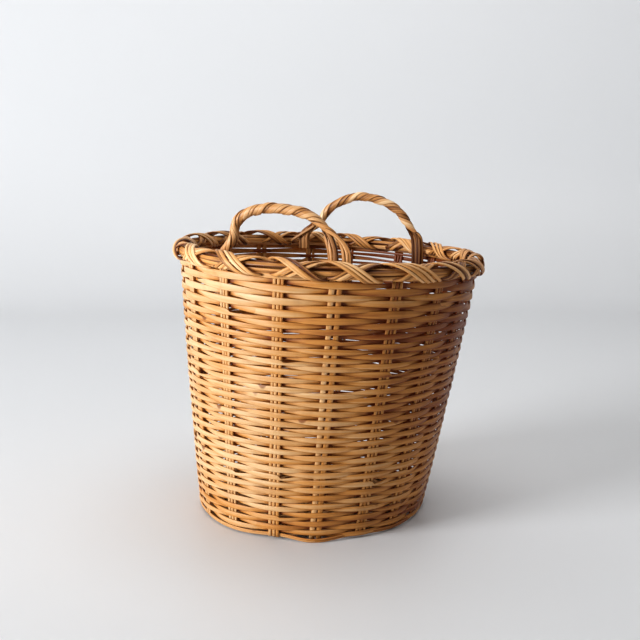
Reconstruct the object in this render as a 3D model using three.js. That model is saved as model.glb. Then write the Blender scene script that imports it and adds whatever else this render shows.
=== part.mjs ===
// An open round basket of woven cane with two fixed loop handles.
// Millimetres, +Z up. The origin is on the floor under the middle of the rim, and the front is at -Y.
// A turn is an angle about the basket's middle: 0 at the front, growing towards +X.
import * as THREE from "three";

// ---- Driving dimensions --------------------------------------------------------------------
const stakeCount = 17; // odd, so that one weaver goes over one and under one in every row
const baseRadius = 150; // middle of the side stakes, where they stand on the floor
const wallTopRadius = 193.5; // the same at the height of the rim
const wallBulge = 1.5; // how far the side swells out at mid-height
const rimRadius = 192; // middle of the plaited rim
const rimHeight = 338;
const rimSlope = THREE.MathUtils.degToRad(3.5); // the old basket's rim dips to the right
const sideLean = 22; // and its side leans to the right by this much
const gap = 0.3; // between pieces that touch

const stakeWidth = 13.6; // three rods side by side
const stakeThickness = 4;
// How far each stake strays from even spacing, in degrees, from the front stake round to the right.
const stakeStrays = [-1, 3, 0, -4, 1, -2, 2, -1, 1.5, -2, 0, 2, -1, 1, 0, 1, 2.5];

const weaverThickness = 2.6;
const wallRows = 56;
const wallRowsPerWeaver = 8;
const firstRowHeight = 4.6;
const lastRowHeight = 321.5;
const rowClearance = 0.35;

const baseRows = 9;
const firstBaseRowRadius = 66;
const baseRowPitch = 8.8;
const baseStickWidth = 11.6;
const baseStickHeight = 6; // middle of the base sticks above the floor, out among the base weaving
const baseStickReach = 143.5;
const crossPitch = 14; // between neighbouring sticks where they cross in the middle
const crossReach = 31;

const rimCoreRadius = 8;
const rimStrandInner = 9.5;
const rimStrandOuter = 13;
const rimStrandWidth = 34; // along the rim
const rimStrandTravel = 1.4; // stake spacings that a strand covers from inside to outside

const handleCoreRadius = 3.5;
const handleStrandInner = 4.6;
const handleStrandOuter = 7;
const handleStrandWidth = 13.5;
const handleStrandPitch = 34;
const handleFootRadius = 174.2; // just inside the rim
const handleFootShare = 0.79; // how high up the side the feet end, as a share of the rim's height
const handleTopHeight = 408; // middle of the handle at its highest

// ---- Places on the basket ------------------------------------------------------------------
const stakeThickHalf = stakeThickness / 2;
const stakeTurns = stakeStrays.map((stray, k) =>
  THREE.MathUtils.degToRad((k * 360) / stakeCount + stray),
);

// The turn of stake number n, where n keeps counting up from one lap to the next.
function stakeTurn(n) {
  const lap = Math.floor(n / stakeCount);
  return stakeTurns[n - lap * stakeCount] + lap * 2 * Math.PI;
}

// A point at a share of the side's height, so far outside the middle of the stakes.
function wallPoint(turn, share, outward) {
  const swell = wallBulge * 4 * share * (1 - share);
  const radius = baseRadius + (wallTopRadius - baseRadius) * share + swell + outward;
  return leaningPoint(turn, share, radius, 0);
}

function leaningPoint(turn, share, radius, up) {
  const right = radius * Math.sin(turn);
  const dip = Math.tan(rimSlope) * share * right;
  return new THREE.Vector3(
    right - sideLean * (1 - share),
    -radius * Math.cos(turn),
    rimHeight * share - dip + up,
  );
}

// A point round the rim's core: around is 0 outside, a quarter turn on top, a half turn inside.
function rimPoint(turn, around, distance) {
  const radius = rimRadius + distance * Math.cos(around);
  return leaningPoint(turn, 1, rimRadius, distance * Math.sin(around)).add(
    new THREE.Vector3(Math.sin(turn), -Math.cos(turn), 0).multiplyScalar(radius - rimRadius),
  );
}

// ---- Making solids -------------------------------------------------------------------------
// Joins one outline from station to station. place gives the point of an outline's corner.
function strandGeometry(stations, outline, place, isRing = false) {
  const corners = stations.flatMap((station) => outline.map(([u, w]) => place(station, u, w)));
  const sides = outline.length;
  const triangles = [];
  const links = isRing ? stations.length : stations.length - 1;
  for (let i = 0; i < links; i += 1) {
    const here = i * sides;
    const next = ((i + 1) % stations.length) * sides;
    for (let j = 0; j < sides; j += 1) {
      const k = (j + 1) % sides;
      triangles.push([here + j, here + k, next + k], [here + j, next + k, next + j]);
    }
  }
  if (!isRing) {
    const lastStation = (stations.length - 1) * sides;
    const outlinePoints = outline.map(([u, w]) => new THREE.Vector2(u, w));
    for (const [a, b, c] of THREE.ShapeUtils.triangulateShape(outlinePoints, [])) {
      triangles.push([c, b, a], [lastStation + a, lastStation + b, lastStation + c]);
    }
  }
  if (signedVolume(corners, triangles) < 0) {
    triangles.forEach((triangle) => triangle.reverse());
  }
  const geometry = new THREE.BufferGeometry().setFromPoints(corners);
  geometry.setIndex(triangles.flat());
  geometry.computeVertexNormals();
  return geometry;
}

function signedVolume(corners, triangles) {
  const volumes = triangles.map(([a, b, c]) =>
    corners[a].dot(new THREE.Vector3().crossVectors(corners[b], corners[c])),
  );
  return volumes.reduce((sum, volume) => sum + volume, 0) / 6;
}

// Three rods side by side, lightly joined where they touch.
function threeRodOutline(width, thickness) {
  const rod = width / 3;
  const half = thickness / 2;
  const valley = half * 0.6;
  const bottom = [
    [-rod, -half],
    [-rod / 2, -valley],
    [0, -half],
    [rod / 2, -valley],
    [rod, -half],
  ];
  const top = bottom.map(([u, w]) => [-u, -w]);
  return [[-width / 2, 0], ...bottom, [width / 2, 0], ...top];
}

// Three split rods side by side, flat underneath.
function splitRodOutline(width, thickness) {
  const rod = width / 3;
  const half = thickness / 2;
  return [
    [-width / 2, -half],
    [width / 2, -half],
    [rod, half],
    [rod / 2, half / 2],
    [0, half],
    [-rod / 2, half / 2],
    [-rod, half],
  ];
}

// A flat back at zero and a low ridge.
function ridgedOutline(width, thickness) {
  return [
    [-width / 2, 0],
    [width / 2, 0],
    [0, thickness],
  ];
}

function flatOutline(width, inner, outer) {
  return [
    [-width / 2, inner],
    [width / 2, inner],
    [width / 2, outer],
    [-width / 2, outer],
  ];
}

function roundOutline(radius, sides) {
  const outline = [];
  for (let i = 0; i < sides; i += 1) {
    const angle = (i * 2 * Math.PI) / sides;
    outline.push([radius * Math.cos(angle), radius * Math.sin(angle)]);
  }
  return outline;
}

function steps(from, to, count) {
  return Array.from({ length: count + 1 }, (_, i) => from + ((to - from) * i) / count);
}

const basket = new THREE.Group();

function addPiece(name, geometry, color, roughness) {
  const material = new THREE.MeshStandardMaterial({ color, roughness, metalness: 0 });
  const piece = new THREE.Mesh(geometry, material);
  piece.name = name;
  basket.add(piece);
}

// ---- Side stakes ---------------------------------------------------------------------------
function addSideStakes() {
  const outline = threeRodOutline(stakeWidth, stakeThickness);
  const topShare = 1 - (rimCoreRadius + gap + 0.4) / rimHeight;
  stakeTurns.forEach((turn, k) => {
    const place = (share, u, w) => {
      const middle = wallPoint(turn, share, w);
      return middle.add(new THREE.Vector3(Math.cos(turn), Math.sin(turn), 0).multiplyScalar(u));
    };
    const geometry = strandGeometry(steps(0, topShare, 3), outline, place);
    addPiece(`side_stakes_${String(k + 1).padStart(2, "0")}`, geometry, 0xb98a4e, 0.55);
  });
}

// ---- Weaving -------------------------------------------------------------------------------
// The stations of a weaver that passes stakes first to last, outside the odd ones and inside the
// even ones. Its two ends stop short of the middle of a stake.
function weaverStations(first, last, clearHalf, radiusAt) {
  const stations = [];
  for (let n = first; n <= last; n += 1) {
    const reach = clearHalf / radiusAt(n);
    const side = n % 2 ? 1 : -1;
    const before = n === first ? gap / radiusAt(n) : -reach;
    const after = n === last ? -gap / radiusAt(n) : reach;
    for (const away of [before, after]) {
      const lap = (n + away / ((2 * Math.PI) / stakeCount)) / stakeCount;
      stations.push({ turn: stakeTurn(n) + away, lap, side });
    }
  }
  return stations;
}

// How far from the stakes' middle the flat back of a weaver lies.
function weaverBack(side) {
  return side > 0 ? stakeThickHalf + gap : -stakeThickHalf - gap - weaverThickness;
}

function addWallWeavers() {
  const firstShare = firstRowHeight / rimHeight;
  const rowShare = (lastRowHeight - firstRowHeight) / rimHeight / wallRows;
  const shareAt = (lap) => firstShare + (lap + 0.5) * rowShare;
  const outline = ridgedOutline(rowShare * rimHeight - rowClearance, weaverThickness);
  const place = ({ turn, lap, side }, u, w) =>
    wallPoint(turn, shareAt(lap) + u / rimHeight, weaverBack(side) + w);
  const radiusAt = (n) => baseRadius + (wallTopRadius - baseRadius) * shareAt(n / stakeCount);
  const passes = stakeCount * wallRowsPerWeaver;
  for (let i = 0; i < wallRows / wallRowsPerWeaver; i += 1) {
    const stations = weaverStations(i * passes, (i + 1) * passes, stakeWidth / 2 + 1, radiusAt);
    addPiece(`wall_weaver_${i + 1}`, strandGeometry(stations, outline, place), 0xd9a866, 0.5);
  }
}

function addBaseWeaver() {
  const radiusAt = (lap) => firstBaseRowRadius + lap * baseRowPitch;
  const outline = ridgedOutline(baseRowPitch - 2 * rowClearance, weaverThickness);
  const place = ({ turn, lap, side }, u, w) =>
    basePoint(turn, radiusAt(lap) + u, baseStickHeight + weaverBack(side) + w);
  const stations = weaverStations(
    0,
    stakeCount * (baseRows - 1),
    baseStickWidth / 2 + 1,
    (n) => radiusAt(n / stakeCount),
  );
  addPiece("base_weaver", strandGeometry(stations, outline, place), 0xc49456, 0.55);
}

// ---- Base sticks ---------------------------------------------------------------------------
function basePoint(turn, radius, height) {
  return new THREE.Vector3(
    radius * Math.sin(turn) - sideLean,
    -radius * Math.cos(turn),
    height,
  );
}

// A flat group of rods along a level route of points.
function stickGeometry(route) {
  const place = (i, u, w) => {
    const before = route[Math.max(i - 1, 0)];
    const after = route[Math.min(i + 1, route.length - 1)];
    const along = new THREE.Vector3().subVectors(after, before).setZ(0).normalize();
    const across = new THREE.Vector3(-along.y, along.x, 0);
    return route[i].clone().addScaledVector(across, u).add(new THREE.Vector3(0, 0, w));
  };
  const outline = splitRodOutline(baseStickWidth, stakeThickness);
  return strandGeometry([...route.keys()], outline, place);
}

// Eight groups cross in the middle, four over four, and fan out to meet the side stakes.
// The ninth, in front, is a short one that makes the number of spokes odd.
function addBaseSticks() {
  const lowerHeight = stakeThickHalf;
  const upperHeight = lowerHeight + stakeThickness + gap;
  const crossings = [
    { ends: [3, 14], place: -1.5, isUpper: false },
    { ends: [4, 13], place: -0.5, isUpper: false },
    { ends: [5, 12], place: 0.5, isUpper: false },
    { ends: [6, 11], place: 1.5, isUpper: false },
    { ends: [15, 10], place: -1.5, isUpper: true },
    { ends: [16, 9], place: -0.5, isUpper: true },
    { ends: [1, 8], place: 0.5, isUpper: true },
    { ends: [2, 7], place: 1.5, isUpper: true },
  ];
  crossings.forEach(({ ends, place, isUpper }, i) => {
    const height = isUpper ? upperHeight : lowerHeight;
    const aside = place * crossPitch;
    const corners = [-crossReach, crossReach].map((along) =>
      isUpper
        ? new THREE.Vector3(aside - sideLean, along, height)
        : new THREE.Vector3(-along - sideLean, aside, height),
    );
    const [near, far] = ends.map((k) => basePoint(stakeTurns[k], baseStickReach, baseStickHeight));
    const [nearSpoke, farSpoke] = ends.map((k) =>
      basePoint(stakeTurns[k], firstBaseRowRadius - 9, baseStickHeight),
    );
    const route = [near, nearSpoke, ...corners, farSpoke, far];
    addPiece(`base_sticks_${i + 1}`, stickGeometry(route), 0xa87a42, 0.6);
  });
  const shortRoute = [firstBaseRowRadius - 9, baseStickReach].map((radius) =>
    basePoint(stakeTurns[0], radius, baseStickHeight),
  );
  addPiece("base_sticks_9", stickGeometry(shortRoute), 0xa87a42, 0.6);
}

// ---- Plaited rim ---------------------------------------------------------------------------
function addRim() {
  const coreTurns = steps(0, 2 * Math.PI, stakeCount * 2).slice(0, -1);
  const placeCore = (turn, u, w) => rimPoint(turn, Math.atan2(w, u), rimCoreRadius);
  const core = strandGeometry(coreTurns, roundOutline(rimCoreRadius, 6), placeCore, true);
  addPiece("rim_core", core, 0xb07f45, 0.55);

  const start = THREE.MathUtils.degToRad(215);
  const end = THREE.MathUtils.degToRad(-55);
  const spacing = (2 * Math.PI) / stakeCount;
  const outline = flatOutline(rimStrandWidth, rimStrandInner, rimStrandOuter);
  stakeTurns.forEach((turn, k) => {
    const place = (part, u, distance) => {
      const along = turn + (part - 0.5) * rimStrandTravel * spacing + u / rimRadius;
      return rimPoint(along, start + (end - start) * part, distance);
    };
    const geometry = strandGeometry(steps(0, 1, 9), outline, place);
    addPiece(`rim_plait_${String(k + 1).padStart(2, "0")}`, geometry, 0xcf9b58, 0.5);
  });
}

// ---- Handles -------------------------------------------------------------------------------
// A handle's middle line: up inside the side and the rim, over in an arch, and down again.
// flatness shapes each half of the arch: 2 is round, more is squarer, less is more pointed.
function handleCurve(feet, flatness) {
  const [near, far] = feet.map((turn) => leaningPoint(turn, 1, handleFootRadius, 0));
  const middle = new THREE.Vector3().addVectors(near, far).multiplyScalar(0.5);
  const half = new THREE.Vector3().subVectors(far, near).multiplyScalar(0.5);
  const rise = handleTopHeight - middle.z - handleCoreRadius;
  const arch = steps(0.04, 0.96, 14).map((part) => {
    const angle = Math.PI * part;
    const power = 2 / (part < 0.5 ? flatness[0] : flatness[1]);
    const along = -Math.sign(Math.cos(angle)) * Math.abs(Math.cos(angle)) ** power;
    const up = handleCoreRadius + rise * Math.sin(angle) ** power;
    return middle.clone().addScaledVector(half, along).add(new THREE.Vector3(0, 0, up));
  });
  const legs = [near, far].map((top, i) => [
    wallPoint(feet[i], handleFootShare, -stakeThickHalf - weaverThickness - handleCoreRadius - 1.2),
    top.clone().setZ(top.z - 16),
  ]);
  return new THREE.CatmullRomCurve3([...legs[0], ...arch, ...legs[1].reverse()], false, "centripetal");
}

// Points round a handle's middle line, at a share of its length.
function handlePlace(curve, outwardTurn) {
  const outward = new THREE.Vector3(Math.sin(outwardTurn), -Math.cos(outwardTurn), 0);
  return (share, around, distance) => {
    const across = new THREE.Vector3().crossVectors(curve.getTangentAt(share), outward).normalize();
    return curve
      .getPointAt(share)
      .addScaledVector(outward, distance * Math.cos(around))
      .addScaledVector(across, distance * Math.sin(around));
  };
}

function addHandle(side, feetDegrees, flatness) {
  const feet = feetDegrees.map(THREE.MathUtils.degToRad);
  const curve = handleCurve(feet, flatness);
  const pointAt = handlePlace(curve, (feet[0] + feet[1]) / 2);
  const placeCore = (share, u, w) => pointAt(share, Math.atan2(w, u), handleCoreRadius);
  const core = strandGeometry(steps(0, 1, 26), roundOutline(handleCoreRadius, 6), placeCore);
  addPiece(`${side}_handle_core`, core, 0xa87440, 0.55);

  const length = curve.getLength();
  const legShare = (rimHeight * (1 - handleFootShare) + rimStrandOuter + handleStrandWidth) / length;
  const twists = ((1 - 2 * legShare) * length) / handleStrandPitch;
  const outline = flatOutline(handleStrandWidth, handleStrandInner, handleStrandOuter);
  for (const [i, offset] of [0, Math.PI].entries()) {
    const place = (part, u, distance) => {
      const share = legShare + (1 - 2 * legShare) * part + u / length;
      return pointAt(share, offset - part * twists * 2 * Math.PI, distance);
    };
    const strand = strandGeometry(steps(0, 1, Math.round(twists * 8)), outline, place);
    addPiece(`${side}_handle_strand_${i + 1}`, strand, 0xd6a05c, 0.45);
  }
}

addBaseSticks();
addBaseWeaver();
addSideStakes();
addWallWeavers();
addRim();
addHandle("front", [-45, 2], [2.5, 2.5]);
addHandle("back", [133.5, 190], [2.1, 1.6]);

export default basket;
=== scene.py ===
# An open woven cane basket with two loop handles, strand by strand, around its CAD frame.
# Metres, +Z up, front at -Y. A turn is an angle about the basket's middle, 0 at the front and
# growing towards +X. A share is a height up the side, 0 at the floor and 1 at the rim's middle.
import math

import bpy
import numpy as np
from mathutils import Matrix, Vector


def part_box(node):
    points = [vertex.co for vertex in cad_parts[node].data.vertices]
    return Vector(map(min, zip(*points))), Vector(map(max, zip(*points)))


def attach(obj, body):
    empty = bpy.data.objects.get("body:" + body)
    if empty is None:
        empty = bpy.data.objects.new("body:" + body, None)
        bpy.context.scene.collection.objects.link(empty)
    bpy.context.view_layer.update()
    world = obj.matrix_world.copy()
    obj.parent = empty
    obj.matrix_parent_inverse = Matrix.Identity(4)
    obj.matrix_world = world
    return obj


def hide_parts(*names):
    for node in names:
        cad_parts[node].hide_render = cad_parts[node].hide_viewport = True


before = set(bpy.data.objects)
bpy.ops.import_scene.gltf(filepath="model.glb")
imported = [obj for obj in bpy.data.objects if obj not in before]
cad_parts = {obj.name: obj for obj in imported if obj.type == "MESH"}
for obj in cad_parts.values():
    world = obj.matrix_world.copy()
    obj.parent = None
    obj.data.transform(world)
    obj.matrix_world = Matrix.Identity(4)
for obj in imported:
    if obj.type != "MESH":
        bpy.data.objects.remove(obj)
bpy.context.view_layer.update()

MM = 0.001
TAU = 2 * math.pi
UP = np.array([0, 0, 1.0])
rng = np.random.default_rng(17)

# ---- Driving dimensions, as in the CAD -----------------------------------------------------
base_radius = 150 * MM
wall_top_radius = 193.5 * MM
wall_bulge = 1.5 * MM
rim_core_radius = 8 * MM
row_count = 56
# The weaving starts a little lower than in the CAD and ends higher, close under the rim.
first_row_height = 3.6 * MM
last_row_height = 328.5 * MM

weaver_nodes = sorted(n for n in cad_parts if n.startswith("wall_weaver_"))
stake_nodes = sorted(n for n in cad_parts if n.startswith("side_stakes_"))
plait_nodes = sorted(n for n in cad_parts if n.startswith("rim_plait_"))
base_nodes = sorted(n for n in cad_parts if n.startswith("base_sticks_"))
stake_count = len(stake_nodes)

rim_low, rim_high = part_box("rim_core")
rim_radius = (rim_high.y - rim_low.y) / 2 - rim_core_radius
rim_height = (rim_low.z + rim_high.z) / 2
rim_dip = (rim_high.z - rim_low.z - 2 * rim_core_radius) / (2 * rim_radius)


def node_points(node):
    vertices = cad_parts[node].data.vertices
    points = np.empty(len(vertices) * 3)
    vertices.foreach_get("co", points)
    return points.reshape(-1, 3)


def foot_of(node):
    """The middle of a node's lowest corners."""
    points = node_points(node)
    return points[points[:, 2] < points[:, 2].min() + 0.5 * MM].mean(axis=0)


stake_feet = [foot_of(node) for node in stake_nodes]
side_lean = -np.mean([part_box("base_weaver")[0].x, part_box("base_weaver")[1].x])
stake_turns = np.array([math.atan2(foot[0] + side_lean, -foot[1]) for foot in stake_feet])
# Turns count up from the front stake, which may stand a little to the left of the front.
stake_turns = np.where(stake_turns < -0.1, stake_turns + TAU, stake_turns)
# The front stake and the next have strayed towards each other by this much at the foot.
front_stake_stray = 5.5 * MM
next_stake_stray = 3.0 * MM
stake_turns[0] += front_stake_stray / base_radius
stake_turns[1] -= next_stake_stray / base_radius


# ---- Places on the basket ------------------------------------------------------------------
def stake_turn(n):
    """The turn of stake n, where n counts on from lap to lap and may lie between two stakes."""
    n = np.asarray(n, float)
    laps = np.floor(n / stake_count)
    known = np.append(stake_turns, stake_turns[0] + TAU)
    return np.interp(n - laps * stake_count, np.arange(stake_count + 1), known) + laps * TAU


def leaning_point(turn, share, radius):
    """A point on the leaning basket, whose levels dip to the right as they near the rim."""
    right = radius * np.sin(turn)
    x = right - side_lean * (1 - share)
    y = -radius * np.cos(turn)
    z = rim_height * share - rim_dip * share * right
    return np.stack([x, y, z], axis=-1)


def wall_radius(share):
    swell = wall_bulge * 4 * share * (1 - share)
    return base_radius + (wall_top_radius - base_radius) * share + swell


def wall_point(turn, share, outward=0.0):
    """A point on the side, so far outside the middle of its stakes."""
    return leaning_point(turn, share, wall_radius(share) + outward)


def rim_point(turn, around, distance):
    """A point round the rim's core: around is 0 outside, a quarter turn on top."""
    aside = out_of(turn) * (distance * np.cos(around))[..., None]
    up = UP * (distance * np.sin(around))[..., None]
    return leaning_point(turn, 1.0, rim_radius) + aside + up


def out_of(turn):
    """The level direction out of the basket at a turn."""
    turn = np.asarray(turn, float)
    return np.stack([np.sin(turn), -np.cos(turn), np.zeros_like(turn)], axis=-1)


# ---- Strands -------------------------------------------------------------------------------
def unit(v):
    return v / np.maximum(np.linalg.norm(v, axis=-1, keepdims=True), 1e-12)


def smooth(x, low, high):
    """0 at low and 1 at high, with a soft start and end."""
    t = np.clip((x - low) / (high - low), 0, 1)
    return t * t * (3 - 2 * t)


def wander(count, size, waves=4):
    """A smooth random wander along a strand, of about that size."""
    x = np.linspace(0, 1, count)
    total = np.zeros(count)
    for k in range(1, waves + 1):
        total += rng.normal() / k**0.7 * np.sin(TAU * (k * x + rng.random()))
    return total * size * 0.6


class Strands:
    """Collects flat oval strands and rods, and joins them into one mesh object."""

    def __init__(self):
        self.points, self.faces, self.uvs, self.tones, self.painted_shades = [], [], [], [], []
        self.count = 0

    def add(self, line, outward, half_width, half_thick, tone=0.0, depth=0.0, sides=10,
            squareness=0.65, is_ring=False, inner_depth=0.0):
        """A strand along a line, with its broad face towards outward.

        tone makes it paler. The shade values darken it with painted shade where it lies recessed or
        hidden, the inner one on its inner face only, facing into the basket.
        """
        line = np.asarray(line, float)
        n = len(line)
        ahead = np.roll(line, -1, axis=0) - np.roll(line, 1, axis=0)
        if not is_ring:
            ahead[0] = line[1] - line[0]
            ahead[-1] = line[-1] - line[-2]
        along = unit(ahead)
        across = unit(np.cross(along, np.broadcast_to(outward, line.shape)))
        out = unit(np.cross(across, along))
        half_width = np.broadcast_to(half_width, (n,))[:, None]
        half_thick = np.broadcast_to(half_thick, (n,))[:, None]
        angle = TAU * (np.arange(sides) + 0.5) / sides
        wide = np.sign(np.cos(angle)) * np.abs(np.cos(angle)) ** squareness
        high = np.sign(np.sin(angle)) * np.abs(np.sin(angle)) ** squareness
        points = (
            line[:, None, :]
            + across[:, None, :] * (half_width * wide)[..., None]
            + out[:, None, :] * (half_thick * high)[..., None]
        ).reshape(-1, 3)
        self.add_faces(line, sides, is_ring)
        self.points.append(points)
        self.tones.append(np.full(len(points), tone))
        # Painted shade: the inner face, which faces into the basket, is darker.
        inner = inner_depth * smooth(high, 0.1, -0.5)
        self.painted_shades.append((np.broadcast_to(depth, (n,))[:, None] + inner).ravel())
        self.count += len(points)

    def add_faces(self, line, sides, is_ring):
        """The faces of one strand, with a map of its length in metres and the way round it."""
        n = len(line)
        length = np.concatenate([[0], np.cumsum(np.linalg.norm(np.diff(line, axis=0), axis=1))])
        closed_length = np.append(length, length[-1] + np.linalg.norm(line[0] - line[-1]))
        i = np.arange(n if is_ring else n - 1)[:, None]
        j = np.arange(sides)[None, :]
        here, there = i * sides, ((i + 1) % n) * sides
        after = (j + 1) % sides
        quads = np.stack([here + j, here + after, there + after, there + j], axis=-1)
        quads = quads.reshape(-1, 4)[:, ::-1]
        # Each strand starts at a place of its own in the grain.
        start = rng.random() * 50
        u0 = np.broadcast_to(start + closed_length[i], (len(i), sides))
        u1 = np.broadcast_to(start + closed_length[i + 1], (len(i), sides))
        v0 = np.broadcast_to(j / sides, (len(i), sides))
        v1 = v0 + 1 / sides
        corners = [(u0, v0), (u0, v1), (u1, v1), (u1, v0)]
        uv = np.stack([np.stack(corner, axis=-1) for corner in corners], axis=2)
        self.faces += (quads + self.count).tolist()
        self.uvs.append(uv.reshape(-1, 4, 2)[:, ::-1].reshape(-1, 2))
        if not is_ring:
            first = list(range(self.count, self.count + sides))
            last = [(n - 1) * sides + k for k in first][::-1]
            self.faces += [first, last]
            self.uvs.append(np.tile([[start, 0.5]], (2 * sides, 1)))

    def build(self, name, material, slot, nodes):
        mesh = bpy.data.meshes.new(name)
        mesh.from_pydata(np.concatenate(self.points), [], self.faces)
        mesh.uv_layers.new(name="strand").data.foreach_set("uv", np.concatenate(self.uvs).ravel())
        for key, values in (("tone", self.tones), ("depth", self.painted_shades)):
            attribute = mesh.attributes.new(key, "FLOAT", "POINT")
            attribute.data.foreach_set("value", np.concatenate(values))
        mesh.polygons.foreach_set("use_smooth", [True] * len(mesh.polygons))
        mesh.materials.append(material)
        piece = bpy.data.objects.new(name, mesh)
        bpy.context.scene.collection.objects.link(piece)
        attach(piece, "root")
        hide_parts(*nodes)


# ---- Materials -----------------------------------------------------------------------------
# How far each cause moves a cane's colour along its ramp, where 0 is dark and 1 is pale.
tone_effect = 0.13
streak_effect = 0.75
fibre_effect = 0.3
blotch_effect = 0.5
# Painted shade for recessed, tucked and hidden strands, and for inner faces.
painted_shade_effect = 0.22
# A knot or a speck of dirt blends this colour in, by this share at most.
mark_color = (0.20, 0.05, 0.006, 1)
knot_share = 0.8
dirt_share = 0.28


def cane_material(name, pale, middle, dark, roughness, edge_darkness, rightward_painted_shade):
    """Split cane. The last argument is how fast painted shade darkens it towards the basket's right
    side, away from the light, per metre.
    """
    material = bpy.data.materials.new(name)
    material.use_nodes = True
    tree = material.node_tree
    nodes, links = tree.nodes, tree.links
    shader = nodes["Principled BSDF"]

    def node(kind, **settings):
        made = nodes.new(kind)
        for key, value in settings.items():
            setattr(made, key, value)
        return made

    def math_node(operation, *values):
        made = node("ShaderNodeMath", operation=operation)
        for socket, value in zip(made.inputs, values):
            if isinstance(value, (int, float)):
                socket.default_value = value
            else:
                links.new(value, socket)
        return made.outputs[0]

    def noise(vector, scale, detail):
        made = node("ShaderNodeTexNoise")
        made.inputs["Scale"].default_value = scale
        made.inputs["Detail"].default_value = detail
        links.new(vector, made.inputs["Vector"])
        return made.outputs["Fac"]

    def strand_noise(x, y, detail):
        """Noise on the strand's own map, this fine along it and round it."""
        made = node("ShaderNodeMapping")
        made.inputs["Scale"].default_value = (x, y, 1)
        links.new(strand, made.inputs["Vector"])
        return noise(made.outputs["Vector"], 1.0, detail)

    def axes(vector):
        made = node("ShaderNodeSeparateXYZ")
        links.new(vector, made.inputs["Vector"])
        return made.outputs

    def shifted(value, by, effect):
        """The value moved by a noise, which is 0.5 where it moves nothing."""
        centred = math_node("SUBTRACT", by, 0.5)
        return math_node("ADD", value, math_node("MULTIPLY", centred, effect))

    def mask(value, low, high):
        """0 up to low and 1 from high."""
        made = node("ShaderNodeValToRGB")
        links.new(value, made.inputs["Fac"])
        black, white = made.color_ramp.elements
        black.position, black.color = low, (0, 0, 0, 1)
        white.position, white.color = high, (1, 1, 1, 1)
        return made.outputs["Color"]

    strand = node("ShaderNodeUVMap", uv_map="strand").outputs["UV"]
    place = node("ShaderNodeTexCoord").outputs["Object"]
    tone = node("ShaderNodeAttribute", attribute_name="tone").outputs["Fac"]
    depth = node("ShaderNodeAttribute", attribute_name="depth").outputs["Fac"]
    fibres = strand_noise(30, 45, 4)
    streaks = strand_noise(9, 5, 2)
    blotches = noise(place, 9.0, 3)

    level = math_node("MULTIPLY_ADD", tone, tone_effect, 0.5)
    level = shifted(level, streaks, streak_effect)
    level = shifted(level, fibres, fibre_effect)
    level = shifted(level, blotches, blotch_effect)
    # Painted shade: strands that lie recessed, tucked under or hidden are darker.
    level = math_node("SUBTRACT", level, math_node("MULTIPLY", depth, painted_shade_effect))

    # Each strand is darker along its two edges.
    round_it = math_node("MULTIPLY", math_node("ADD", axes(strand)["Y"], 0.05), TAU)
    edge = math_node("POWER", math_node("ABSOLUTE", math_node("COSINE", round_it)), 5.0)
    level = math_node("SUBTRACT", level, math_node("MULTIPLY", edge, edge_darkness))

    # Painted shade: the basket is darker and more orange towards its right side, away from the light,
    # and its far left is all alike.
    rightward = math_node("MAXIMUM", axes(place)["X"], -0.1)
    level = math_node("SUBTRACT", level, math_node("MULTIPLY", rightward, rightward_painted_shade))

    ramp = node("ShaderNodeValToRGB")
    links.new(level, ramp.inputs["Fac"])
    darkest, palest = ramp.color_ramp.elements
    darkest.position, darkest.color = 0.12, (*dark, 1)
    palest.position, palest.color = 0.85, (*pale, 1)
    ramp.color_ramp.elements.new(0.46).color = (*middle, 1)

    # Knots are short dark rings across a strand, at uneven places along it.
    knots = mask(strand_noise(26, 0.4, 0), 0.76, 0.785)
    dirt = mask(noise(place, 38.0, 4), 0.56, 0.78)
    marks = math_node("MULTIPLY_ADD", knots, knot_share, math_node("MULTIPLY", dirt, dirt_share))
    marks = math_node("MINIMUM", marks, 0.8)
    mix = node("ShaderNodeMix", data_type="RGBA")
    links.new(marks, mix.inputs["Factor"])
    links.new(ramp.outputs["Color"], mix.inputs["A"])
    mix.inputs["B"].default_value = mark_color
    links.new(mix.outputs["Result"], shader.inputs["Base Color"])

    rough = math_node("MULTIPLY_ADD", fibres, 0.25, roughness - 0.12)
    links.new(rough, shader.inputs["Roughness"])
    shader.inputs["Specular IOR Level"].default_value = 0.4
    shader.inputs["Coat Weight"].default_value = 0.06
    shader.inputs["Coat Roughness"].default_value = 0.35

    bump = node("ShaderNodeBump")
    bump.inputs["Strength"].default_value = 0.5
    bump.inputs["Distance"].default_value = 0.35 * MM
    grain = math_node("SUBTRACT", strand_noise(12, 30, 3), math_node("MULTIPLY", marks, 0.15))
    links.new(grain, bump.inputs["Height"])
    links.new(bump.outputs["Normal"], shader.inputs["Normal"])
    return material


weaver_cane = cane_material(
    "weaver_cane", pale=(0.75, 0.50, 0.265), middle=(0.60, 0.26, 0.058), dark=(0.23, 0.053, 0.005),
    roughness=0.46, edge_darkness=0.2, rightward_painted_shade=1.7)
stake_cane = cane_material(
    "stake_cane", pale=(0.80, 0.54, 0.29), middle=(0.61, 0.27, 0.06), dark=(0.23, 0.053, 0.005),
    roughness=0.46, edge_darkness=0.14, rightward_painted_shade=1.7)
rim_cane = cane_material(
    "rim_cane", pale=(0.93, 0.64, 0.35), middle=(0.72, 0.34, 0.10), dark=(0.12, 0.028, 0.004),
    roughness=0.42, edge_darkness=0.24, rightward_painted_shade=0.3)
handle_cane = cane_material(
    "handle_cane", pale=(0.89, 0.61, 0.34), middle=(0.60, 0.28, 0.09), dark=(0.085, 0.02, 0.003),
    roughness=0.40, edge_darkness=0.38, rightward_painted_shade=0.4)
base_cane = cane_material(
    "base_cane", pale=(0.50, 0.29, 0.11), middle=(0.32, 0.16, 0.052), dark=(0.12, 0.045, 0.013),
    roughness=0.6, edge_darkness=0.2, rightward_painted_shade=0.5)


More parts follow.
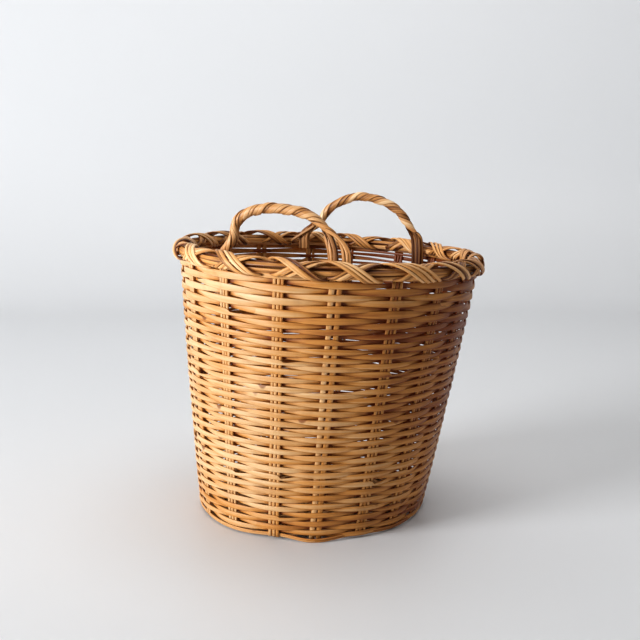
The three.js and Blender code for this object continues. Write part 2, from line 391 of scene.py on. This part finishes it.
# ---- Side stakes ---------------------------------------------------------------------------
stake_half_thick = 1.6 * MM
rod_half_thick = 0.96 * stake_half_thick
stake_foot_height = 3.5 * MM
stake_top_in_rim = 2 * MM  # how far the rods run up into the rim's core
two_rod_stakes = (0, 5, 10)  # the others have three slimmer rods
rod_half_width = {2: 3.5 * MM, 3: 2.15 * MM}
rod_gap = {2: 1.5 * MM, 3: 0.5 * MM}


def build_side_stakes():
    steps = 48
    top = 1 - (rim_core_radius - stake_top_in_rim) / rim_height
    share = np.linspace(stake_foot_height / rim_height, top, steps)
    for k, node in enumerate(stake_nodes):
        strands = Strands()
        rods = 2 if k in two_rod_stakes else 3
        for r in range(rods):
            aside = (r - (rods - 1) / 2) * (2 * rod_half_width[rods] + rod_gap[rods])
            sway = wander(steps, 0.5 * MM, 5)
            turn = stake_turns[k] + (aside + sway) / wall_radius(share)
            in_and_out = wander(steps, 0.25 * MM, 3)
            half_width = rod_half_width[rods] * (1 + wander(steps, 0.05, 6))
            # The rods' inner faces get painted shade, facing into the basket.
            strands.add(wall_point(turn, share, in_and_out), out_of(turn), half_width, rod_half_thick,
                        tone=rng.normal() * 0.4, squareness=0.75, inner_depth=0.8)
        strands.build(f"stake_rods_{k + 1:02d}", stake_cane, "stake_cane", [node])


# ---- Side weavers --------------------------------------------------------------------------
weaver_half_thick = 0.75 * MM
stations_per_stake = 14
inside_dip = 1.45  # how much further a row goes inside a stake than outside one
row_swell = 0.25  # how much wider a row is outside a stake, and narrower inside
wave_size = 1.15 * MM
shortest_cane, longest_cane = 20, 44  # in stakes
end_tuck = 0.9 * MM
slits_per_lap = 2.2
slit_sag = 1.3 * MM
near_rim_from, near_rim_to = 0.86, 0.9  # the rows get paler and thinner between these shares
thin_turn = math.radians(148)  # the rows near the rim are thinnest round this turn
thin_reach = 0.75  # and this far to each side of it

foot_strand_height = 3.4 * MM
foot_strand_spacing = 2.2 * MM
foot_strand_half_width = 1.5 * MM
foot_strand_half_thick = 1.1 * MM
foot_bulge_out = 3.0 * MM
foot_bulge_down = 1.0 * MM


def row_edges():
    """The heights between the rows, as shares. Rows near the rim are wider than the others."""
    i = np.arange(row_count + 1) / row_count
    pitch = 1 + 0.3 * smooth(i, 0.84, 0.9) - 0.1 * smooth(i, 0.975, 1.0)
    edges = np.concatenate([[0], np.cumsum((pitch[1:] + pitch[:-1]) / 2)])
    edges = first_row_height + edges / edges[-1] * (last_row_height - first_row_height)
    return edges / rim_height


class Weave:
    """Waves of the rows up and down, shared by neighbours so that they stay in order."""

    def __init__(self):
        self.waves = []
        for _ in range(14):
            around = rng.integers(1, 9)
            height = rng.normal() * 2.2
            phase = rng.random() * TAU
            size = rng.normal() / (1 + 0.35 * around)
            self.waves.append((around, height, phase, size))

    def lift(self, turn, share):
        total = sum(
            size * np.sin(around * turn + TAU * height * share + phase)
            for around, height, phase, size in self.waves
        )
        return total * wave_size * smooth(share, 0.0, 0.15) * smooth(share, 1.0, 0.9)


def passing_side(n):
    """1 outside a stake, -1 inside it, and a nearly straight run from one to the other."""
    away = np.abs(n - np.round(n))
    flat = 0.08
    size = np.clip((0.5 - away) / (0.5 - flat), 0, 1)
    size = size + 0.1 * np.sin(np.pi * size)
    parity = np.where(np.round(n).astype(int) % 2 == 0, -1.0, 1.0)
    return parity * np.minimum(size, 1.0)


def cane_lengths(total):
    """Where each cane starts and ends, counted in stakes. Each overlaps the next by a stake."""
    starts = [0]
    while starts[-1] < total:
        starts.append(starts[-1] + int(rng.integers(shortest_cane, longest_cane)))
    return [(a, min(b + 1, total)) for a, b in zip(starts[:-1], starts[1:]) if a < total - 2]


def build_side_weavers():
    edges = row_edges()
    weave = Weave()
    stakes_per_node = row_count // len(weaver_nodes) * stake_count
    bundles = [Strands() for _ in weaver_nodes]
    for first, last in cane_lengths(row_count * stake_count):
        add_cane(bundles[first // stakes_per_node], first, last, edges, weave)
    add_foot_strands(bundles[0])
    for w, (node, strands) in enumerate(zip(weaver_nodes, bundles)):
        strands.build(f"weaver_rows_{w + 1}", weaver_cane, "weaver_cane", [node])


def add_cane(strands, first, last, edges, weave):
    """One cane of the spiral, outside every other stake and one row higher after each lap."""
    count = (last - first) * stations_per_stake + 1
    n = np.linspace(first, last, count)
    laps_run = (last - first) / stake_count
    low, high = row_limits(n, edges)
    middle = (low + high) / 2
    turn = stake_turn(n)
    side = passing_side(n)

    reach = stake_half_thick + weaver_half_thick + 0.05 * MM
    outward = side * np.where(side > 0, 1.0, inside_dip) * reach
    outward = outward + wander(count, 0.15 * MM, int(14 * laps_run))
    ends = smooth(n, first + 1.2, first) + smooth(n, last - 1.2, last)
    outward = outward - end_tuck * ends

    lift = weave.lift(turn, middle) + wander(count, 0.32 * MM, int(20 * laps_run))
    fullness = 1 + wander(count, 0.04, int(12 * laps_run)) + rng.normal() * 0.035
    half_width = (high - low) * rim_height / 2 * (1 + row_swell * side) * fullness
    narrowing, sag = slits(n, first, last, laps_run)
    near_rim = smooth(middle, near_rim_from, near_rim_to)
    half_width = half_width * narrowing * (1 - near_rim * (0.02 + 0.4 * thinness(turn)))
    half_thick = weaver_half_thick * (1 + 0.1 * rng.normal())

    tone = rng.normal() * 0.55 + 1.1 * near_rim.mean() - 0.25 * smooth(middle, 0.6, 0.75).mean()
    line = wall_point(turn, middle + (lift - sag) / rim_height, outward)
    # The row gets painted shade where it passes inside and in the painted shadows beside the stakes.
    strands.add(line, out_of(turn), half_width, half_thick, tone=float(tone),
                depth=painted_stake_shade(n, side, outward), squareness=0.6, inner_depth=1.0)


def row_limits(n, edges):
    """The shares of a row's lower and upper edge, which rise by one row in each lap."""
    lap = n / stake_count
    laps = np.arange(row_count + 2)
    known = np.append(edges, 2 * edges[-1] - edges[-2])
    return np.interp(lap, laps, known), np.interp(lap + 1, laps, known)


def slits(n, first, last, laps_run):
    """Here and there a row narrows and sags, and leaves a slit above it, from a stake onwards."""
    narrowing, sag = np.ones(len(n)), np.zeros(len(n))
    for _ in range(rng.poisson(slits_per_lap * laps_run)):
        start = first + int(rng.integers(0, last - first)) + 0.12
        run = 0.35 + 0.5 * rng.random()
        wedge = smooth(n, start - 0.06, start) * smooth(n, start + run, start + 0.05)
        narrowing = narrowing * (1 - (0.25 + 0.35 * rng.random()) * wedge)
        sag = sag + slit_sag * wedge
    return narrowing, sag


def thinness(turn):
    """1 where the rows near the rim are thinnest, at the back right, and 0 away from there."""
    away = (turn - thin_turn + math.pi) % TAU - math.pi
    return np.exp(-((away / thin_reach) ** 2))


def painted_stake_shade(n, side, outward):
    """Painted shade where a row passes inside, darker where it dips behind a stake, and a painted
    shadow on the stake's right side, away from the light.
    """
    away = n - np.round(n)
    beside_stake = smooth(np.abs(away), 0.24, 0.16) * smooth(side, 0.0, -0.6)
    return 0.6 * smooth(outward, 1.0 * MM, -3.0 * MM) + np.where(away > 0, 2.0, 1.2) * beside_stake


def add_foot_strands(strands):
    """Two loose slim canes round the foot, which bulge out and down past every other stake."""
    count = stake_count * 16
    for s in range(2):
        n = np.arange(count) / count * (stake_count - 1)
        turn = stake_turn(n * stake_count / (stake_count - 1))
        at_front = np.exp(-((np.sin(turn / 2) / 0.2) ** 2))
        bulge = np.cos(np.pi * n) * (0.25 + 1.5 * at_front)
        outward = 1.0 * MM + foot_bulge_out * bulge + 0.5 * MM * s + wander(count, 0.25 * MM, 6)
        height = foot_strand_height + foot_strand_spacing * s - foot_bulge_down * bulge
        height = height + wander(count, 0.15 * MM, 6)
        # The foot strands get a little painted shade all along, low by the floor.
        strands.add(wall_point(turn, height / rim_height, outward), out_of(turn),
                    foot_strand_half_width, foot_strand_half_thick, tone=0.3 - 0.6 * s, depth=0.25,
                    squareness=0.85, is_ring=True, inner_depth=0.8)


# ---- Plaited rim ---------------------------------------------------------------------------
filler_strands = 7
plait_strand_pitch = 7.2 * MM
plait_half_thick = 1.25 * MM
over_distance = 12.2 * MM  # from the rim's middle to the bundles on the outside of the plait
under_distance = 10.9 * MM  # and to the bundles that cross below them
plait_tuck = 3.6 * MM  # how far a bundle's ends dip in under its neighbours


def build_rim_core():
    strands = Strands()
    steps = stake_count * 12
    turn = np.linspace(0, TAU, steps, endpoint=False)
    for k in range(filler_strands):
        around = TAU * k / filler_strands + 0.4 * np.sin(3 * turn + k)
        distance = 6.0 * MM + 0.6 * MM * np.sin(turn * 5 + 2 * k)
        line = rim_point(turn, around, distance)
        outward = line - leaning_point(turn, 1.0, rim_radius)
        # The filler, hidden inside the rim, gets painted shade.
        strands.add(line, outward, 3.0 * MM, 1.6 * MM, tone=rng.normal() * 0.7, depth=0.2,
                    is_ring=True, squareness=0.75)
    strands.build("rim_filler", rim_cane, "rim_cane", ["rim_core"])


def add_plait_bundle(strands, turn, travel, start, end, distance, count, is_over):
    """Flat strands side by side, wrapped from around=start to around=end while they travel.

    travel counts in stake spacings, and goes to the left where it is negative.
    """
    steps = 30
    part = np.linspace(0, 1, steps)
    pitch = math.copysign(plait_strand_pitch, travel)
    for s in range(count):
        place = s - (count - 1) / 2
        fan = 1 + 0.12 * np.sin(np.pi * part) + 0.1 * rng.normal()
        along = turn + (part - 0.5) * travel * TAU / stake_count
        along = along + place * pitch * fan / rim_radius
        around = start + (end - start) * part + 0.05 * rng.normal()
        tuck = smooth(part, 0.12, 0.0) + smooth(part, 0.88, 1.0)
        crown = 0.7 * MM * (1 - (2 * place / count) ** 2) + 0.25 * MM * rng.normal()
        far = distance + crown - plait_tuck * tuck + wander(steps, 0.15 * MM, 3)
        line = rim_point(along, around, far)
        outward = line - leaning_point(along, 1.0, rim_radius)
        half_width = plait_strand_pitch * 0.31 * (1 + 0.1 * rng.normal())
        tone = rng.normal() * 1.1 + (0.3 if is_over else -0.2)
        # Painted shade darkens the bundles that cross below and the ends tucked in under their
        # neighbours.
        strands.add(line, outward, half_width, plait_half_thick, tone=tone,
                    depth=(0.0 if is_over else 0.25) + 0.8 * tuck, squareness=0.85)


def build_rim_plait():
    for k, node in enumerate(plait_nodes):
        strands = Strands()
        turn = stake_turns[k] + 0.02 * rng.normal()
        add_plait_bundle(strands, turn, 1.25, math.radians(222), math.radians(-62),
                         over_distance, 3 + k % 2, is_over=True)
        add_plait_bundle(strands, turn + 0.5 * TAU / stake_count, -1.15, math.radians(200),
                         math.radians(-50), under_distance, 3, is_over=False)
        strands.build(f"rim_strands_{k + 1:02d}", rim_cane, "rim_cane", [node])


# ---- Handles -------------------------------------------------------------------------------
def catmull(points, per_span):
    """A smooth line through the points."""
    points = np.asarray(points, float)
    ends = np.vstack([2 * points[0] - points[1], points, 2 * points[-1] - points[-2]])
    made = []
    for i in range(1, len(ends) - 2):
        t = np.linspace(0, 1, per_span, endpoint=False)[:, None]
        p0, p1, p2, p3 = ends[i - 1], ends[i], ends[i + 1], ends[i + 2]
        made.append(0.5 * (2 * p1 + (p2 - p0) * t + (2 * p0 - 5 * p1 + 4 * p2 - p3) * t**2
                           + (3 * p1 - p0 - 3 * p2 + p3) * t**3))
    made.append(points[-1:])
    return np.vstack(made)


def evenly(points, count):
    """The same line with evenly spaced points, and its length."""
    length = np.concatenate([[0], np.cumsum(np.linalg.norm(np.diff(points, axis=0), axis=1))])
    want = np.linspace(0, length[-1], count)
    return np.stack([np.interp(want, length, points[:, i]) for i in range(3)], axis=1), length[-1]


handle_foot_radius = 174.2 * MM
handle_top = 408 * MM
handle_core_radius = 3.5 * MM
handle_rod_half = 3.2 * MM
leg_top_drop = 16 * MM  # below the rim's middle, where a leg bends into the arch
leg_bottom_share = 0.79
leg_inset = 6 * MM
step_from, step_to = 368 * MM, 346 * MM  # heights between which a foot steps away
knot_height, knot_reach = 374 * MM, 12 * MM
twist_pitch = 62 * MM
bundle_strands = 3
bundle_layer_gap = 2.6 * MM


def handle_line(near_turn, far_turn, flatness):
    """A handle's middle line. flatness shapes each half of its arch: 2 is round, more squarer."""
    near = leaning_point(near_turn, 1.0, handle_foot_radius)
    far = leaning_point(far_turn, 1.0, handle_foot_radius)
    middle, half = (near + far) / 2, (far - near) / 2
    rise = handle_top - middle[2] - handle_core_radius
    arch = []
    for part in np.linspace(0.04, 0.96, 15):
        angle = math.pi * part
        power = 2 / (flatness[0] if part < 0.5 else flatness[1])
        along = -math.copysign(abs(math.cos(angle)) ** power, math.cos(angle))
        up = handle_core_radius + rise * math.sin(angle) ** power
        arch.append(middle + half * along + UP * up)
    bottoms = [wall_point(turn, leg_bottom_share, -leg_inset) for turn in (near_turn, far_turn)]
    tops = [point - UP * leg_top_drop for point in (near, far)]
    return catmull([bottoms[0], tops[0], *arch, tops[1], bottoms[1]], 12)


class Foot:
    """How a handle's strands leave the twist and run down inside the wall, side by side.

    Lengths are in millimetres. The twist opens from one height down to another. middles are
    the middles of the two bundles in the foot, kick is its step away from the arch, and its
    strands end at the height ends_at, or run down all the way where that is 0.
    """

    def __init__(self, degrees, opens_from, opens_to, spacing, middles, kick, ends_at):
        self.turn = math.radians(degrees)
        self.opens_from = opens_from * MM
        self.opens_to = opens_to * MM
        self.spacing = spacing * MM
        self.middles = [m * MM for m in middles]
        self.kick = kick * MM
        self.ends_at = ends_at * MM

    def bound(self, height):
        """1 up on the arch where the strands are twisted together, 0 down in the foot."""
        return smooth(height, self.opens_to, self.opens_from)


def build_handle(side, near, far, flatness, loose_ends=()):
    """Two bundles of strands twisted round a rod. loose_ends are lines of points, in mm."""
    steps = 300
    line, length = evenly(handle_line(near.turn, far.turn, flatness), steps)
    facing = (near.turn + far.turn) / 2
    outward = out_of(np.full(steps, facing))
    sideways = np.array([math.cos(facing), math.sin(facing), 0])
    share = np.linspace(0, 1, steps)
    is_far = share > 0.5
    height = line[:, 2]
    # Each foot steps away from the arch as it reaches the rim, under a knot that leans inwards.
    knot = 0.9 * np.exp(-(((height - knot_height) / knot_reach) ** 2))
    step = smooth(height, step_from, step_to) - knot
    apart = unit(line[-1] - line[0])
    line = line + apart * (step * np.where(is_far, far.kick, -near.kick))[:, None]
    across = unit(np.cross(unit(np.gradient(line, axis=0)), outward))
    kept = height > np.where(is_far, far.ends_at, near.ends_at)
    bound = np.where(is_far, far.bound(height), near.bound(height))
    spacing = np.where(is_far, far.spacing, near.spacing)

    core = Strands()
    # The rod, hidden inside the twist, gets painted shade.
    core.add(line[kept], outward[kept], handle_rod_half, handle_rod_half, tone=-0.6, depth=0.6,
             squareness=1.0)
    core.build(f"{side}_handle_rod", handle_cane, "handle_cane", [f"{side}_handle_core"])

    uneven = 1 + 0.3 * np.sin(TAU * share * 1.5 + 0.6) + wander(steps, 0.12, 7)
    twists = np.cumsum(1 / (twist_pitch * uneven)) * length / steps
    half_width = (2.1 + 0.85 * bound) * MM
    half_thick = (1.3 - 0.45 * bound) * MM
    for g in range(2):
        strands = Strands()
        foot_middle = np.where(is_far, far.middles[g], near.middles[g])
        for s in range(bundle_strands):
            place = s - (bundle_strands - 1) / 2 + 0.12 * rng.normal()
            around = -TAU * twists + math.pi * g + place * math.radians(50) + wander(steps, 0.1, 6)
            distance = (4.9 + 0.8 * (1 - place**2)) * MM + wander(steps, 0.5 * MM, 8)
            aside = place * spacing + foot_middle + wander(steps, 0.7 * MM, 6)
            layer = (0.5 - g) * bundle_layer_gap + 0.4 * MM * rng.normal()
            twisted = outward * np.cos(around)[:, None] + across * np.sin(around)[:, None]
            free = sideways * aside[:, None] + outward * layer
            point = line + twisted * (distance * bound)[:, None] + free * (1 - bound)[:, None]
            face = twisted * bound[:, None] + outward * (1 - bound)[:, None]
            # Painted shade darkens the strands where they run down inside the wall.
            strands.add(point[kept], face[kept], half_width[kept], half_thick[kept],
                        tone=0.5 - g + rng.normal() * 0.8, depth=0.35 * (1 - bound[kept]),
                        squareness=0.75)
        if g == 1:
            for points in loose_ends:
                # The loose cut end gets a little painted shade.
                strands.add(catmull(np.array(points) * MM, 6), outward[0], 2.1 * MM, 1.9 * MM,
                            tone=-0.8, depth=0.2, squareness=0.9)
        strands.build(f"{side}_handle_twist_{g + 1}", handle_cane, "handle_cane",
                      [f"{side}_handle_strand_{g + 1}"])


def build_handles():
    left = Foot(-45, opens_from=368, opens_to=350, spacing=3.4, middles=(-2, -0.5), kick=6,
                ends_at=296)
    right = Foot(2, opens_from=404, opens_to=356, spacing=3.8, middles=(-5, 12), kick=0,
                 ends_at=296)
    build_handle("front", left, right, [2.5, 2.5])
    right = Foot(133.5, opens_from=370, opens_to=346, spacing=5.2, middles=(0, 2.6), kick=3,
                 ends_at=0)
    left = Foot(190, opens_from=372, opens_to=346, spacing=5.0, middles=(0, 2), kick=6,
                ends_at=329)
    cut_end = [(-56, 174, 341), (-38, 168, 353), (-20, 163, 365)]
    build_handle("back", right, left, [2.1, 1.6], [cut_end])


# ---- Base ----------------------------------------------------------------------------------
spoke_height = 6 * MM
spoke_radii = np.array([57, 80, 110, 143]) * MM
lower_height, upper_height = 2.0 * MM, 6.3 * MM
base_rod_half = 1.9 * MM
base_rod_spacing = 3.9 * MM
stick_spacing = 14 * MM  # between neighbouring stick groups where they cross
cross_reach = 31 * MM
base_row_start = 35 * MM
base_row_pitch = 5.6 * MM
base_laps = 20
# For each stick group: the stakes it runs between, its place across the middle in spacings, and
# whether it lies on top there.
crossings = [
    (3, 14, -1.5, False), (4, 13, -0.5, False), (5, 12, 0.5, False), (6, 11, 1.5, False),
    (15, 10, -1.5, True), (16, 9, -0.5, True), (1, 8, 0.5, True), (2, 7, 1.5, True),
]


def base_point(turn, radius, height):
    return np.stack([radius * np.sin(turn) - side_lean, -radius * np.cos(turn),
                     np.broadcast_to(height, np.shape(turn))], axis=-1)


def spoke(turn, offset):
    """A rod from near the middle out to the side, so far to one side of its spoke's middle."""
    return [base_point(turn + offset / radius, radius, spoke_height) for radius in spoke_radii]


def crossing_rod(near_stake, far_stake, place, is_upper, offset):
    aside = place * stick_spacing + offset
    near = spoke(stake_turns[near_stake], offset)[::-1]
    far = spoke(stake_turns[far_stake], -offset)
    middle = []
    for along in (-cross_reach, 0, cross_reach):
        x, y, height = (aside, along, upper_height) if is_upper else (-along, aside, lower_height)
        middle.append(np.array([x - side_lean, y, height]))
    return [*near, *middle, *far]


def stick_rods(i):
    """The three rods of a stick group. The last group is a short one, from the front stake."""
    offsets = (-base_rod_spacing, 0, base_rod_spacing)
    if i == len(crossings):
        return [spoke(stake_turns[0], offset) for offset in offsets]
    return [crossing_rod(*crossings[i], offset) for offset in offsets]


def build_base_sticks():
    for i, node in enumerate(base_nodes):
        strands = Strands()
        for rod in stick_rods(i):
            # The base rods get painted shade, down on the basket's floor.
            strands.add(catmull(rod, 8), UP, base_rod_half, base_rod_half,
                        tone=rng.normal() * 0.6, depth=0.4, squareness=0.9)
        strands.build(f"base_rods_{i + 1}", base_cane, "base_cane", [node])


def build_base_rows():
    """One long cane that spirals out from the middle, over and under the spokes."""
    n = np.arange(0, base_laps * stake_count * 10 + 1) / 10
    radius = base_row_start + n / stake_count * base_row_pitch
    height = spoke_height + np.cos(np.pi * n) * 3.0 * MM
    strands = Strands()
    # The base rows get painted shade, down on the basket's floor.
    strands.add(base_point(stake_turn(n), radius, height), UP, base_row_pitch / 2, 0.9 * MM,
                depth=0.45, squareness=0.6)
    strands.build("base_rows", base_cane, "base_cane", ["base_weaver"])


# ---- Stage, light and camera ---------------------------------------------------------------
def plain_material(name, color, roughness):
    material = bpy.data.materials.new(name)
    material.use_nodes = True
    shader = material.node_tree.nodes["Principled BSDF"]
    shader.inputs["Base Color"].default_value = (*color, 1)
    shader.inputs["Roughness"].default_value = roughness
    return material


def build_stage():
    """A pale oval floor that curves up all round into a plain wall."""
    centre_y, half_across, half_along = -1.45, 4.5, 3.05
    bend, wall_height, sides, bend_steps = 0.5, 3.5, 128, 8
    # Each ring of points is so far past the floor's edge, and so high.
    rings = [(-0.05, 0.0), (0.0, 0.0)]
    for k in range(1, bend_steps + 1):
        angle = math.pi / 2 * k / bend_steps
        rings.append((bend * math.sin(angle), bend * (1 - math.cos(angle))))
    rings.append((bend, wall_height))
    points = []
    for past, height in rings:
        for k in range(sides):
            turn = TAU * k / sides
            x = (half_across + past) * math.cos(turn)
            y = centre_y + (half_along + past) * math.sin(turn)
            points.append((x, y, height))
    faces = [tuple(range(sides))]
    for inner in range(0, (len(rings) - 1) * sides, sides):
        outer = inner + sides
        for k in range(sides):
            following = (k + 1) % sides
            faces.append((outer + k, outer + following, inner + following, inner + k))
    mesh = bpy.data.meshes.new("floor")
    mesh.from_pydata(points, [], faces)
    mesh.polygons.foreach_set("use_smooth", [True] * len(faces))
    mesh.materials.append(plain_material("floor_paint", (0.76, 0.765, 0.775), 0.5))
    floor = bpy.data.objects.new("floor", mesh)
    bpy.context.scene.collection.objects.link(floor)


def area_light(name, place, target, size, power, color):
    light = bpy.data.lights.new(name, "AREA")
    light.shape = "RECTANGLE"
    light.size, light.size_y = size
    light.energy = power
    light.color = color
    lamp = bpy.data.objects.new(name, light)
    lamp.location = place
    lamp.rotation_euler = (Vector(target) - Vector(place)).to_track_quat("-Z", "Y").to_euler()
    bpy.context.scene.collection.objects.link(lamp)


def build_lights():
    area_light("window", (-2.9, -1.5, 1.05), (0, 0, 0.2), (1.3, 1.3), 112, (0.96, 0.98, 1.0))
    area_light("backdrop_light", (-0.2, 0.7, 2.6), (0, 1.5, 0.3), (2.0, 1.2), 13, (1.0, 1.0, 1.0))
    area_light("overhead", (0.5, -0.3, 2.4), (0.3, -0.1, 0), (1.8, 1.4), 14, (1.0, 0.99, 0.97))
    world = bpy.data.worlds.new("studio")
    world.use_nodes = True
    background = world.node_tree.nodes["Background"]
    background.inputs["Color"].default_value = (0.88, 0.85, 0.80, 1)
    background.inputs["Strength"].default_value = 0.07
    bpy.context.scene.world = world
    bpy.context.scene.view_settings.view_transform = "Standard"
    bpy.context.scene.view_settings.look = "Medium High Contrast"


def build_camera():
    camera = bpy.data.cameras.new("camera")
    camera.sensor_width = 36
    camera.lens = 54.675
    camera.clip_start = 0.05
    viewer = bpy.data.objects.new("camera", camera)
    viewer.location = (-0.0125, -1.285, 0.476)
    viewer.rotation_euler = (math.radians(90 - 9.96), 0, 0)
    bpy.context.scene.collection.objects.link(viewer)
    bpy.context.scene.camera = viewer


build_side_stakes()
build_side_weavers()
build_rim_core()
build_rim_plait()
build_handles()
build_base_sticks()
build_base_rows()
build_stage()
build_lights()
build_camera()

bpy.context.view_layer.update()
